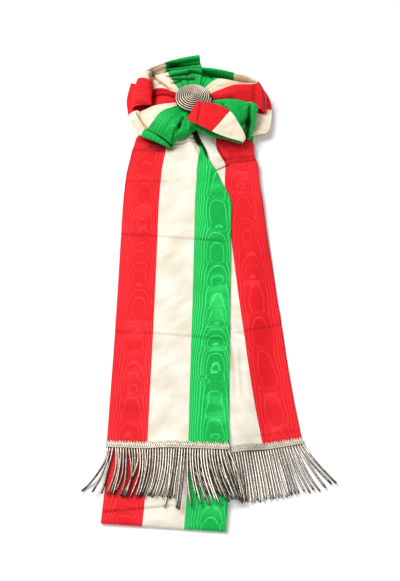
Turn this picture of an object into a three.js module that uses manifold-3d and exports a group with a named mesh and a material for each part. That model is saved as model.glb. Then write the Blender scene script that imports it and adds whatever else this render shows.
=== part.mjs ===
// A mayoral sash folded flat and laid on a table: a tricolour ribbon loop, two fringed tails
// and a four-loop rosette with a coiled-cord button. Millimetres, +Z up, table at z = 0.
// The origin lies on the table straight below the middle of the button; +X runs across the
// ribbons and -Y runs down the tails.

import * as THREE from 'three';
import Module from 'manifold-3d';
import { mergeVertices } from 'three/addons/utils/BufferGeometryUtils.js';

const wasm = await Module();
wasm.setup();

// Driving dimensions
const ribbonWidth = 100;
const cloth = 1.0;
const gap = 0.3;
const layerStep = cloth + gap;
const buttonRadius = 18;
const buttonUnderside = 22;
const buttonRise = 5.2;
const cordPitch = 2;
const knotRadius = 11;
const headingHeight = 6.5;
const headingThickness = 1.8;
const lockHeight = 1.8;
const lockSides = 6;
const lockTip = 0.6;
const lockBite = 2;
const lockMargin = 3;
const lockFall = 14;
const headingSteps = 16;
const lockStations = [0, 0.12, 0.35, 0.6, 0.85, 1];

// Derived heights of the flat stack, each for the middle of the cloth
const bandLayers = 4;
const bandTopMiddle = cloth / 2 + (bandLayers - 1) * layerStep;
const bandTop = bandTopMiddle + cloth / 2;
const backTailMiddle = bandTopMiddle + layerStep;
const frontTailMiddle = backTailMiddle + layerStep;
const endRise = 2.2;
const endRiseLength = 30;

const colours = {
  red: 0xd8232f,
  cream: 0xf3ead6,
  green: 0x1aa650,
  silver: 0x9c8f80,
};

function clothMaterial(colour) {
  return new THREE.MeshStandardMaterial({ color: colour, roughness: 0.55, metalness: 0 });
}

function silverMaterial() {
  return new THREE.MeshStandardMaterial({ color: colours.silver, roughness: 0.4, metalness: 0.85 });
}

const root = new THREE.Group();

function addPiece(name, geometry, material) {
  const mesh = new THREE.Mesh(geometry, material);
  mesh.name = name;
  root.add(mesh);
}

// A geometry from corner points and triangles, turned inside out if it encloses less than nothing.
function closedGeometry(points, triangles) {
  let volume = 0;
  for (const [a, b, c] of triangles) {
    volume += points[a].dot(points[b].clone().cross(points[c]));
  }
  const index = [];
  for (const [a, b, c] of triangles) {
    index.push(...(volume < 0 ? [a, c, b] : [a, b, c]));
  }
  const geometry = new THREE.BufferGeometry();
  geometry.setAttribute('position', new THREE.Float32BufferAttribute(points.flatMap((p) => p.toArray()), 3));
  geometry.setIndex(index);
  geometry.computeVertexNormals();
  return geometry;
}

// A cloth wall: the sheet's middle surface is a grid of points, pushed out half a thickness
// each way along the grid's own normals. A looped sheet joins its last row to its first.
function clothWall(grid, thickness = cloth, looped = false) {
  const rowCount = grid.length;
  const columnCount = grid[0].length;
  const points = [];
  const rowAt = (i) => (looped ? (i + rowCount) % rowCount : Math.min(Math.max(i, 0), rowCount - 1));
  const columnAt = (j) => Math.min(Math.max(j, 0), columnCount - 1);
  for (const side of [1, -1]) {
    for (let i = 0; i < rowCount; i += 1) {
      for (let j = 0; j < columnCount; j += 1) {
        const along = grid[rowAt(i + 1)][j].clone().sub(grid[rowAt(i - 1)][j]);
        const across = grid[i][columnAt(j + 1)].clone().sub(grid[i][columnAt(j - 1)]);
        const normal = along.cross(across).normalize();
        points.push(grid[i][j].clone().addScaledVector(normal, (side * thickness) / 2));
      }
    }
  }
  const at = (layer, i, j) => (layer * rowCount + rowAt(i)) * columnCount + j;
  const triangles = [];
  const quad = (a, b, c, d) => triangles.push([a, b, c], [a, c, d]);
  const lastRow = looped ? rowCount : rowCount - 1;
  for (let i = 0; i < lastRow; i += 1) {
    for (let j = 0; j < columnCount - 1; j += 1) {
      quad(at(0, i, j), at(0, i, j + 1), at(0, i + 1, j + 1), at(0, i + 1, j));
      quad(at(1, i, j), at(1, i + 1, j), at(1, i + 1, j + 1), at(1, i, j + 1));
    }
    quad(at(0, i, 0), at(0, i + 1, 0), at(1, i + 1, 0), at(1, i, 0));
    const j = columnCount - 1;
    quad(at(0, i, j), at(1, i, j), at(1, i + 1, j), at(0, i + 1, j));
  }
  if (!looped) {
    const i = rowCount - 1;
    for (let j = 0; j < columnCount - 1; j += 1) {
      quad(at(0, 0, j), at(1, 0, j), at(1, 0, j + 1), at(0, 0, j + 1));
      quad(at(0, i, j), at(0, i, j + 1), at(1, i, j + 1), at(1, i, j));
    }
  }
  return closedGeometry(points, triangles);
}

// Rows of points smoothed into more rows by a curve through each column of points.
function smoothRows(rows, steps) {
  const count = (rows.length - 1) * steps + 1;
  const grid = Array.from({ length: count }, () => []);
  for (let j = 0; j < rows[0].length; j += 1) {
    const curve = new THREE.CatmullRomCurve3(rows.map((row) => row[j]), false, 'centripetal');
    for (let i = 0; i < count; i += 1) {
      grid[i].push(curve.getPoint(i / (count - 1)));
    }
  }
  return grid;
}

function degrees(angle) {
  return (angle * Math.PI) / 180;
}

// The value of one column of a table at a place between its rows.
function between(table, key, column, place) {
  const last = table.length - 1;
  const rising = table[last][key] > table[0][key];
  let i = 0;
  while (i < last - 1 && (rising ? place > table[i + 1][key] : place < table[i + 1][key])) {
    i += 1;
  }
  const share = (place - table[i][key]) / (table[i + 1][key] - table[i][key]);
  const clamped = Math.min(Math.max(share, 0), 1);
  return table[i][column] + clamped * (table[i + 1][column] - table[i][column]);
}

// The sash band: one closed loop of ribbon laid flat and folded in half, so four layers lie
// under the tails. Its lower fold shows below the fringe.
const bandLean = degrees(4.2);
const bandFoot = new THREE.Vector3(-22.7, -440.5, 0);
const bandRun = 466;
const foldSteps = 6;

function bandPoint(along, across, height) {
  return new THREE.Vector3(
    bandFoot.x + along * Math.sin(bandLean) + across * Math.cos(bandLean),
    bandFoot.y + along * Math.cos(bandLean) - across * Math.sin(bandLean),
    height,
  );
}

// Half a turn of the ribbon round a fold line, as pairs of distance along the band and height.
function foldArc(centreAlong, centreHeight, radius, facing, rising) {
  const arc = [];
  for (let i = 0; i <= foldSteps; i += 1) {
    const turn = (Math.PI * i) / foldSteps - Math.PI / 2;
    arc.push([
      centreAlong + facing * radius * Math.cos(turn),
      centreHeight + (rising ? 1 : -1) * radius * Math.sin(turn),
    ]);
  }
  return arc;
}

function sashBand() {
  const middle = cloth / 2 + (bandLayers - 1) * layerStep / 2;
  const outerRadius = 1.5 * layerStep;
  const innerRadius = 0.5 * layerStep;
  const footCentre = outerRadius + cloth / 2;
  const topCentre = bandRun - innerRadius - cloth / 2;
  const path = [
    ...foldArc(footCentre, middle, outerRadius, -1, false),
    ...foldArc(topCentre, middle - layerStep, innerRadius, 1, true),
    ...foldArc(footCentre, middle, innerRadius, -1, true),
    ...foldArc(topCentre, middle + layerStep, innerRadius, 1, true),
  ];
  const acrossSteps = [-0.5, -0.17, 0.17, 0.5];
  const grid = path.map(([along, height]) => acrossSteps.map((share) => bandPoint(along, share * ribbonWidth, height)));
  return clothWall(grid, cloth, true);
}

addPiece('sash_band', sashBand(), clothMaterial(colours.red));

// How far a place lies outside the band's long edges.
function outsideBand(x, y) {
  const across = (x - bandFoot.x) * Math.cos(bandLean) - (y - bandFoot.y) * Math.sin(bandLean);
  return Math.abs(across) - ribbonWidth / 2;
}

function fadeOut(distance, start, length) {
  const share = Math.min(Math.max((distance - start) / length, 0), 1);
  return 1 - share * share * (3 - 2 * share);
}

// The tails: x and y are the middle of the ribbon, turn is the way its width runs, width is
// less than the ribbon's where it is gathered, and lift raises a cross fold off what it lies on.
const backTailSections = [
  { y: -14, x: 4, turn: -14, width: 12, lift: 0.6 },
  { y: -30, x: 18, turn: -16, width: 42, lift: 0.8 },
  { y: -52, x: 24, turn: -8, width: 62, lift: 0.9 },
  { y: -66, x: 22, turn: -3, width: 78, lift: 1.1 },
  { y: -74, x: 17, turn: 0, width: 89, lift: 0.2 },
  { y: -88, x: 13.5, turn: 0, width: 97, lift: 0.1 },
  { y: -111, x: 14.7, turn: 1, width: 99.5, lift: 0 },
  { y: -147, x: 17.5, turn: 2, width: 100, lift: 0 },
  { y: -193, x: 20, turn: 3.5, width: 100, lift: 0 },
  { y: -226, x: 22.8, turn: 5, width: 100, lift: 0.2 },
  { y: -280, x: 28.4, turn: 7, width: 100, lift: 0 },
  { y: -330, x: 34.7, turn: 9, width: 100, lift: 0.3 },
  { y: -369.5, x: 42.4, turn: 11, width: 100, lift: 0 },
];

const frontTailSections = [
  { y: -13, x: -5, turn: 12, width: 12, lift: 1.2 },
  { y: -22, x: -14, turn: 10, width: 32, lift: 2.0 },
  { y: -33, x: -24, turn: 4, width: 57, lift: 2.4 },
  { y: -42, x: -23.5, turn: 2, width: 63, lift: 1.6 },
  { y: -52, x: -22.5, turn: 0, width: 69.5, lift: 2.2 },
  { y: -64, x: -21.3, turn: 0, width: 76, lift: 1.7 },
  { y: -76, x: -20, turn: 0, width: 83, lift: 0.9 },
  { y: -89, x: -18.2, turn: 0, width: 89, lift: 0.8 },
  { y: -111, x: -14.5, turn: 0, width: 99, lift: 0.1 },
  { y: -150, x: -15.2, turn: 0.6, width: 99.5, lift: 0.3 },
  { y: -200, x: -16, turn: 0.8, width: 99.5, lift: 0 },
  { y: -254, x: -17.2, turn: 1, width: 99.5, lift: 0.3 },
  { y: -310, x: -18.6, turn: 1.2, width: 100, lift: 0 },
  { y: -369, x: -19.9, turn: 1, width: 101, lift: 0 },
];

const edgeDroop = 2.5;
const frontTailEnd = -369;
const sagStart = 7.5;
const sagLength = 24;

function backTailHeight(x, y) {
  return cloth / 2 + gap + (backTailMiddle - cloth / 2 - gap) * fadeOut(outsideBand(x, y), sagStart, sagLength);
}

// How far a place lies past the back tail's left edge.
function pastBackTail(x, y) {
  const centre = between(backTailSections, 'y', 'x', y);
  const width = between(backTailSections, 'y', 'width', y);
  const turn = degrees(between(backTailSections, 'y', 'turn', y));
  return centre - (width / 2) / Math.cos(turn) - x;
}

// The front tail lies on the band and the back tail, droops a little past the band's left edge,
// and rises at its lower end over the back tail's heading.
function frontTailHeight(x, y) {
  const onBackTail = fadeOut(pastBackTail(x, y), sagStart, sagLength);
  const droop = x < 0 ? edgeDroop * (1 - fadeOut(outsideBand(x, y), sagStart, sagLength)) : 0;
  const overHeading = endRise * onBackTail * fadeOut(y - frontTailEnd, 0, endRiseLength);
  return backTailMiddle + layerStep * onBackTail + overHeading - droop;
}

function tailGrid(sections, height, columns) {
  return sections.map((section) => {
    const row = [];
    for (let j = 0; j < columns; j += 1) {
      const across = (j / (columns - 1) - 0.5) * section.width;
      const x = section.x + across * Math.cos(degrees(section.turn));
      const y = section.y + across * Math.sin(degrees(section.turn));
      row.push(new THREE.Vector3(x, y, height(x, y) + section.lift));
    }
    return row;
  });
}

const tailColumns = 17;
const tailSteps = 1;
const backTail = clothWall(smoothRows(tailGrid(backTailSections, backTailHeight, tailColumns), tailSteps));
const frontTail = clothWall(smoothRows(tailGrid(frontTailSections, frontTailHeight, tailColumns), tailSteps));
addPiece('back_tail', backTail, clothMaterial(colours.cream));
addPiece('front_tail', frontTail, clothMaterial(colours.green));

// The knot: the stitched middle of the rosette, round which every loop is gathered. It stands on
// the band and carries the button.
function knot() {
  const bottom = bandTop + gap;
  const top = buttonUnderside - gap;
  const profile = [
    new THREE.Vector2(0, bottom),
    new THREE.Vector2(knotRadius - 1, bottom),
    new THREE.Vector2(knotRadius, bottom + 1),
    new THREE.Vector2(knotRadius, top - 2),
    new THREE.Vector2(knotRadius - 1.5, top),
    new THREE.Vector2(0, top),
  ];
  return new THREE.LatheGeometry(profile, 24).rotateX(Math.PI / 2);
}

addPiece('rosette_knot', knot(), clothMaterial(colours.cream));

// The button: a dome of silver cord coiled flat from the middle out, one raised ring for each
// turn of the cord.
function button() {
  const turns = Math.round(buttonRadius / cordPitch);
  const rimHeight = 2.2;
  const domeAt = (r) => buttonUnderside + rimHeight + buttonRise * (1 - (r / buttonRadius) ** 2);
  const groove = 0.55;
  const profile = [
    new THREE.Vector2(0, buttonUnderside),
    new THREE.Vector2(buttonRadius - 1.2, buttonUnderside),
    new THREE.Vector2(buttonRadius, buttonUnderside + rimHeight / 2),
  ];
  for (let turn = turns; turn >= 1; turn -= 1) {
    const crest = (turn - 0.5) * cordPitch;
    const valley = (turn - 1) * cordPitch;
    profile.push(new THREE.Vector2(crest, domeAt(crest)));
    profile.push(new THREE.Vector2(valley, domeAt(valley) - groove));
  }
  return new THREE.LatheGeometry(profile, 24).rotateX(Math.PI / 2);
}

addPiece('rosette_button', button(), silverMaterial());

// The rosette's loops. Each is the full ribbon, gathered at the knot and opened like a fan, then
// turned back on itself at its outer fold. A row is one section across the ribbon, from one
// selvage to the other: root is its direction at the knot and out its direction at the outer
// fold, in degrees from +X; reach is the distance to that fold, roll the width of the raised
// outer roll, dip the furrow inside it, and apron how far the lower lip runs past it. Crown, rim
// and sole are the heights of the upper layer, the roll and the lower layer.
const upperLeftSections = [
  { root: 86, out: 84.5, reach: 55.5, roll: 12, dip: 3, apron: 0, crown: 24, rim: 26.5, sole: 9 },
  { root: 101, out: 102, reach: 51.5, roll: 12, dip: 4, apron: 0, crown: 25, rim: 28, sole: 9 },
  { root: 117, out: 120, reach: 52, roll: 11, dip: 3, apron: 0, crown: 24, rim: 28.5, sole: 9 },
  { root: 135, out: 141, reach: 56.5, roll: 13, dip: 6, apron: 0, crown: 23, rim: 27, sole: 8.5 },
  { root: 152, out: 157, reach: 58, roll: 17, dip: 6, apron: 4, crown: 21, rim: 26.5, sole: 8 },
  { root: 168, out: 171, reach: 56, roll: 17, dip: 5, apron: 5, crown: 20, rim: 25, sole: 8 },
  { root: 184, out: 187, reach: 56, roll: 16, dip: 3, apron: 5.5, crown: 18.5, rim: 21.5, sole: 9 },
];

const lowerLeftSections = [
  { root: 190, out: 189.5, reach: 61.5, roll: 9, dip: 2, apron: 0, crown: 19, rim: 15, sole: 10 },
  { root: 206, out: 203, reach: 62.5, roll: 9, dip: 2, apron: 0, crown: 20, rim: 14.5, sole: 10 },
  { root: 222, out: 217, reach: 61.5, roll: 9, dip: 3, apron: 0, crown: 22, rim: 17, sole: 10.6 },
  { root: 238, out: 233, reach: 57, roll: 10, dip: 5, apron: 0, crown: 23.5, rim: 18, sole: 10.8 },
  { root: 252, out: 247.5, reach: 55.5, roll: 9, dip: 5, apron: 0, crown: 23, rim: 17.5, sole: 10.8 },
  { root: 264, out: 262, reach: 41, roll: 7, dip: 2, apron: 0, crown: 22, rim: 19, sole: 11 },
  { root: 275, out: 277, reach: 33, roll: 6, dip: 1, apron: 0, crown: 21, rim: 19, sole: 11 },
];

const rightSections = [
  { root: 77, out: 79, reach: 43, roll: 6, dip: 5, apron: 0, crown: 22, rim: 22.5, sole: 9 },
  { root: 62, out: 56, reach: 44, roll: 7, dip: 9, apron: 0, crown: 23, rim: 25, sole: 9 },
  { root: 47, out: 36, reach: 51, roll: 7, dip: 9, apron: 0, crown: 24.5, rim: 26.5, sole: 8.5 },
  { root: 34, out: 25, reach: 59, roll: 7, dip: 8, apron: 0, crown: 25.5, rim: 27, sole: 8 },
  { root: 21, out: 16.5, reach: 68, roll: 8, dip: 4, apron: 1.5, crown: 26, rim: 26.5, sole: 8 },
  { root: 8, out: 4, reach: 69, roll: 10, dip: 1, apron: 3, crown: 26.5, rim: 24.5, sole: 8.5 },
  { root: -5, out: -9, reach: 68.5, roll: 10, dip: 0, apron: 3.5, crown: 25.5, rim: 21, sole: 10 },
];

const lowerRightSections = [
  { root: -10, out: -11.5, reach: 62, roll: 9, dip: 2, apron: 11, crown: 24, rim: 23.5, sole: 11 },
  { root: -20, out: -21, reach: 63, roll: 9, dip: 4, apron: 12, crown: 23, rim: 22, sole: 11 },
  { root: -29, out: -30.5, reach: 66, roll: 9, dip: 5, apron: 11, crown: 20.5, rim: 18.5, sole: 11 },
  { root: -38, out: -38, reach: 67, roll: 8, dip: 2, apron: 5, crown: 17.5, rim: 16, sole: 11 },
];

const rootRadius = knotRadius + gap + 0.1;
const profileSteps = 17;

// One section of a loop: out along the upper layer, over the roll, down the nose and back
// along the lower layer.
function loopSection(section) {
  const { reach, roll, dip, apron, crown, rim, sole } = section;
  const nose = reach + apron;
  const stations = [
    [rootRadius, buttonUnderside - 4.5],
    [buttonRadius + 1, Math.min(buttonUnderside - 1.6, crown)],
    [(buttonRadius + reach - roll) / 2 + 1, crown],
    [reach - roll, Math.min(crown, rim) - dip],
    [reach - 0.45 * roll, rim],
    [reach, rim - 3.5],
    [nose, sole + Math.max(1.6, (rim - sole) * (apron > 2 ? 0.15 : 0.3))],
    [nose - 3.2, sole],
    [(rootRadius + nose) / 2, sole],
    [rootRadius, sole + 0.4],
  ];
  const rootTurn = degrees(section.root);
  const outTurn = degrees(section.out);
  const curve = new THREE.CatmullRomCurve3(
    stations.map(([r, z]) => new THREE.Vector3(r, 0, z)),
    false,
    'centripetal',
  );
  return curve.getSpacedPoints(profileSteps).map((p) => {
    const share = Math.min(Math.max((p.x - rootRadius) / (reach - rootRadius), 0), 1);
    const turn = rootTurn + (outTurn - rootTurn) * share;
    return new THREE.Vector3(p.x * Math.cos(turn), p.x * Math.sin(turn), p.z);
  });
}

function rosetteLoop(sections, steps) {
  return clothWall(smoothRows(sections.map(loopSection), steps));
}

addPiece('upper_left_loop', rosetteLoop(upperLeftSections, 2), clothMaterial(colours.green));
addPiece('lower_left_loop', rosetteLoop(lowerLeftSections, 2), clothMaterial(colours.cream));
addPiece('right_loop', rosetteLoop(rightSections, 2), clothMaterial(colours.red));
addPiece('lower_right_loop', rosetteLoop(lowerRightSections, 3), clothMaterial(colours.green));

// The front flap: the ribbon's last turn, laid over the button's lower right and doubled under
// itself along the join of its middle stripe, so its third stripe runs back to the knot below.
// A row is one line along the ribbon, from its head, towards the button, to its foot.
const flapSections = [
  { headX: 3, headY: -12.5, headZ: 32.2, footX: -5.5, footY: -32, footZ: 29 },
  { headX: 18, headY: -14.6, headZ: 32.8, footX: 6, footY: -38.5, footZ: 28.5 },
  { headX: 34.9, headY: -23.8, headZ: 31.5, footX: 17.9, footY: -44.6, footZ: 26.5 },
  { headX: 42.6, headY: -34, headZ: 27.5, footX: 30, footY: -47.6, footZ: 22.5 },
  { headX: 49.5, headY: -46, headZ: 19, footX: 47, footY: -49.3, footZ: 16.2 },
  { headX: 48, headY: -45, headZ: 16, footX: 45, footY: -48.6, footZ: 14 },
  { headX: 34, headY: -30, headZ: 16.5, footX: 30, footY: -44.8, footZ: 15.5 },
  { headX: 18, headY: -19, headZ: 17.5, footX: 14, footY: -42.6, footZ: 19 },
  { headX: 7.3, headY: -8.7, headZ: 16, footX: 3.5, footY: -36.8, footZ: 20.8 },
];
const flapColumns = 7;

function frontFlap() {
  const rows = flapSections.map((section) => {
    const head = new THREE.Vector3(section.headX, section.headY, section.headZ);
    const foot = new THREE.Vector3(section.footX, section.footY, section.footZ);
    const row = [];
    for (let j = 0; j < flapColumns; j += 1) {
      row.push(head.clone().lerp(foot, j / (flapColumns - 1)));
    }
    return row;
  });
  return clothWall(smoothRows(rows, 3));
}

addPiece('front_flap', frontFlap(), clothMaterial(colours.red));

// The fringes: a woven silver heading sewn over the tail's end, and bullion hanging from it in
// locks. A row gives, at a share of the way along the heading, how far the locks there swing out
// to the side over their length, how long they are, and how much of their pitch they fill.
const frontFringe = {
  start: new THREE.Vector3(-70.3, -363.5, 0),
  end: new THREE.Vector3(30.9, -366.5, 0),
  tailHeight: frontTailHeight,
  locks: 22,
  pile: lockHeight + 2 * gap,
  sections: [
    { share: 0, swing: -15, length: 31, fill: 0.62 },
    { share: 0.06, swing: -14, length: 38, fill: 0.62 },
    { share: 0.12, swing: -9, length: 43, fill: 0.62 },
    { share: 0.18, swing: 0, length: 46, fill: 0.62 },
    { share: 0.3, swing: -2, length: 45, fill: 0.7 },
    { share: 0.36, swing: -1, length: 46, fill: 0.86 },
    { share: 0.55, swing: -1, length: 51, fill: 0.86 },
    { share: 0.75, swing: 4, length: 51, fill: 0.86 },
    { share: 0.9, swing: 12, length: 52, fill: 0.86 },
    { share: 1, swing: 13, length: 50, fill: 0.86 },
  ],
};

const backFringe = {
  start: new THREE.Vector3(-6.2, -374.8, 0),
  end: new THREE.Vector3(91.3, -357.6, 0),
  tailHeight: backTailHeight,
  locks: 18,
  pile: 0,
  sections: [
    { share: 0, swing: 1, length: 34, fill: 0.8 },
    { share: 0.3, swing: 2, length: 38, fill: 0.8 },
    { share: 0.42, swing: 3, length: 41, fill: 0.84 },
    { share: 0.7, swing: 5, length: 46, fill: 0.84 },
    { share: 0.86, swing: 8, length: 47, fill: 0.8 },
    { share: 0.93, swing: 18, length: 44, fill: 0.7 },
    { share: 1, swing: 25, length: 40, fill: 0.62 },
  ],
};

// How high the middle of a lock lies where it rests: on the band, or past its edge on the table,
// and on the lower fringe's locks where one fringe lies over the other.
function lockRest(x, y, pile) {
  const onBand = bandTop * fadeOut(outsideBand(x, y), lockMargin, lockFall);
  const onFringe = pile * (1 - fadeOut(x - backFringe.start.x, -2 * lockMargin, lockMargin));
  return onBand + onFringe + gap + lockHeight / 2;
}

function lockGeometry(from, direction, downwards, row, width, pile) {
  const rings = lockStations.map((share) => {
    const swing = row.swing * share ** 1.5;
    const place = from.clone().addScaledVector(downwards, row.length * share).addScaledVector(direction, swing);
    const rest = lockRest(place.x, place.y, pile);
    const hold = Math.max(from.z - rest, 0) * (1 - share) ** 3;
    const thin = share === 1 ? lockTip : 1;
    return { place: new THREE.Vector3(place.x, place.y, rest + hold), thin };
  });
  rings[0].place.copy(from).addScaledVector(downwards, -lockBite);
  const points = [];
  rings.forEach((ring, i) => {
    const ahead = rings[Math.min(i + 1, rings.length - 1)].place;
    const behind = rings[Math.max(i - 1, 0)].place;
    const along = ahead.clone().sub(behind).setZ(0).normalize();
    const side = new THREE.Vector3(along.y, -along.x, 0);
    for (let j = 0; j < lockSides; j += 1) {
      const turn = (2 * Math.PI * j) / lockSides;
      const point = ring.place.clone().addScaledVector(side, (width / 2) * ring.thin * Math.cos(turn));
      point.z += (lockHeight / 2) * ring.thin * Math.sin(turn);
      points.push(point);
    }
  });
  const triangles = [];
  for (let i = 0; i < rings.length - 1; i += 1) {
    for (let j = 0; j < lockSides; j += 1) {
      const next = (j + 1) % lockSides;
      const [a, b] = [i * lockSides + j, i * lockSides + next];
      triangles.push([a, b, b + lockSides], [a, b + lockSides, a + lockSides]);
    }
  }
  const last = (rings.length - 1) * lockSides;
  for (let j = 1; j < lockSides - 1; j += 1) {
    triangles.push([0, j + 1, j], [last, last + j, last + j + 1]);
  }
  return closedGeometry(points, triangles);
}

function toManifold(geometry) {
  const bare = new THREE.BufferGeometry();
  bare.setAttribute('position', geometry.getAttribute('position'));
  bare.setIndex(geometry.getIndex());
  const merged = mergeVertices(bare, 1e-5);
  return new wasm.Manifold(
    new wasm.Mesh({
      numProp: 3,
      vertProperties: new Float32Array(merged.getAttribute('position').array),
      triVerts: new Uint32Array(merged.getIndex().array),
    }),
  );
}

function fromManifold(solid) {
  const mesh = solid.getMesh();
  const geometry = new THREE.BufferGeometry();
  geometry.setAttribute('position', new THREE.BufferAttribute(new Float32Array(mesh.vertProperties), 3));
  geometry.setIndex(new THREE.BufferAttribute(new Uint32Array(mesh.triVerts), 1));
  geometry.computeVertexNormals();
  return geometry;
}

function fringe({ start, end, tailHeight, locks, pile, sections }) {
  const run = end.clone().sub(start);
  const direction = run.clone().normalize();
  const downwards = new THREE.Vector3(direction.y, -direction.x, 0).normalize();
  const seat = (place) => tailHeight(place.x, place.y) + cloth / 2 + gap + headingThickness / 2;
  const headingRow = (offset) => {
    const row = [];
    for (let i = 0; i <= headingSteps; i += 1) {
      const place = start.clone().addScaledVector(run, i / headingSteps);
      place.z = seat(place);
      row.push(place.addScaledVector(downwards, offset));
    }
    return row;
  };
  let solid = toManifold(clothWall([headingRow(0), headingRow(headingHeight)], headingThickness));
  const pitch = run.length() / locks;
  for (let i = 0; i < locks; i += 1) {
    const share = (i + 0.5) / locks;
    const row = {};
    for (const column of ['swing', 'length', 'fill']) {
      row[column] = between(sections, 'share', column, share);
    }
    const from = start.clone().addScaledVector(run, share);
    from.z = seat(from);
    from.addScaledVector(downwards, headingHeight);
    const lock = lockGeometry(from, direction, downwards, row, pitch * row.fill, pile);
    solid = solid.add(toManifold(lock));
  }
  return fromManifold(solid);
}

addPiece('front_fringe', fringe(frontFringe), silverMaterial());
addPiece('back_fringe', fringe(backFringe), silverMaterial());

export default root;
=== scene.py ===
import bpy
import numpy as np
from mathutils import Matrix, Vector


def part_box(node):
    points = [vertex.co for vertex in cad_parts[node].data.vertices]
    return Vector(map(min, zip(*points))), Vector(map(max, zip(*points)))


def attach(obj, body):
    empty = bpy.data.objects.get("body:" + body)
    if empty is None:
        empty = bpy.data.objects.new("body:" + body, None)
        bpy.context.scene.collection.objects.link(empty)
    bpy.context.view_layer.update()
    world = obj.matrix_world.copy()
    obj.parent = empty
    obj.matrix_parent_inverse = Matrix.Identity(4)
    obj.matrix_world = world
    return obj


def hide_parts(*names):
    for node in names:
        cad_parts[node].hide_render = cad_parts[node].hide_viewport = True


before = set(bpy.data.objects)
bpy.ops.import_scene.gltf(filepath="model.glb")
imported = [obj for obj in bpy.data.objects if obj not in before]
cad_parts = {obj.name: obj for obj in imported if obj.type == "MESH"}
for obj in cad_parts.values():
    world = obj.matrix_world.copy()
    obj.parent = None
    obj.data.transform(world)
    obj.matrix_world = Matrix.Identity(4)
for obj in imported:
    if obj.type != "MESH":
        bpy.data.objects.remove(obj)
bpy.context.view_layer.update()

# The sash band: the worn loop of tricolour moire silk, pressed flat and folded in half, so that
# four layers lie under the tails. Nothing holds it but its own creases, and only its lower fold
# shows, below the fringes.
mm = 0.001
ribbon_width = 100 * mm
silk = 0.45 * mm
layer_step = 1.3 * mm
lowest_layer = 0.5 * mm
band_lean = np.radians(4.2)
band_foot = np.array([-22.7, -440.5]) * mm
band_run = 466 * mm
band_top = lowest_layer + 3 * layer_step + 0.5 * mm


def quads(rows, columns, looped=False):
    """Corner numbers of the squares between neighbours of a grid. If it is looped, its last row
    meets its first."""
    i, j = np.meshgrid(np.arange(rows if looped else rows - 1), np.arange(columns - 1), indexing="ij")
    below = (i + 1) % rows
    corners = [i * columns + j, i * columns + j + 1, below * columns + j + 1, below * columns + j]
    return np.stack(corners, axis=-1).reshape(-1, 4)


def put_in_scene(name, data):
    """A new object of the scene from a mesh, a lamp or a camera."""
    made = bpy.data.objects.new(name, data)
    bpy.context.collection.objects.link(made)
    return made


def new_piece(name, points, faces, material):
    """A smooth-shaded object at the origin from an array of points and lists of corner numbers."""
    mesh = bpy.data.meshes.new(name)
    mesh.from_pydata(points.reshape(-1, 3).tolist(), [], [list(face) for face in faces])
    mesh.polygons.foreach_set("use_smooth", np.ones(len(mesh.polygons), bool))
    mesh.materials.append(material)
    mesh.update()
    return put_in_scene(name, mesh)


def keep_values(piece, name, values):
    """Keeps a value for each point of a piece, for its material to read."""
    layer = piece.data.attributes.new(name, "FLOAT", "POINT")
    layer.data.foreach_set("value", values.ravel())


def thicken(piece, name, thickness):
    """Gives a sheet its wall, half of it on each side."""
    wall = piece.modifiers.new(name, "SOLIDIFY")
    wall.thickness = thickness
    wall.offset = 0


def ribbon_piece(name, grid, across, shade, material, looped=False, start=0.0):
    """A length of ribbon from a grid of points, one row for each place along it. Its map runs from
    the red selvage, 0, to the green one, 1, and in metres along from a start, row by row. Its shade,
    from 0 to 2, is how much painted shadow each point gets, in creases and where other pieces
    shade it."""
    rows, columns = grid.shape[:2]
    closed = np.concatenate([grid, grid[:1]]) if looped else grid
    steps = np.linalg.norm(np.diff(closed, axis=0), axis=-1)
    along = start + np.concatenate([np.zeros((1, columns)), np.cumsum(steps, axis=0)])
    along = along.mean(axis=1, keepdims=True) * np.ones((1, columns))
    across = np.broadcast_to(across, along.shape)
    faces = quads(rows, columns, looped)
    piece = new_piece(name, grid, faces, material)
    corners = quads(len(closed), columns)
    places = np.stack([across, along], axis=-1).reshape(-1, 2)[corners.ravel()]
    piece.data.uv_layers.new(name="ribbon").data.foreach_set("uv", places.ravel())
    keep_values(piece, "shade", np.clip(np.broadcast_to(shade, (rows, columns)), 0, 2))
    thicken(piece, "silk", silk)
    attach(piece, "root")
    return piece


def colour(red, green, blue):
    """Scene colour of a screen colour from 0 to 255: each part raised by the screen's own curve."""
    part = np.array([red, green, blue]) / 255
    return (*np.where(part > 0.04045, ((part + 0.055) / 1.055) ** 2.4, part / 12.92), 1.0)


red_silk, red_shine = colour(213, 20, 30), colour(236, 48, 56)
green_silk, green_shine = colour(3, 157, 62), colour(56, 222, 112)
# Painted shadow: the silk's colour is multiplied by these where its shade attribute says it lies in shade.
# The cream's is lighter, as light bounces inside pale folds, and the deep one darkens the deepest shade
# again.
in_shadow, in_cream_shadow = colour(146, 118, 96), colour(198, 172, 146)
in_deep_shadow = colour(110, 100, 92)


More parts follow.
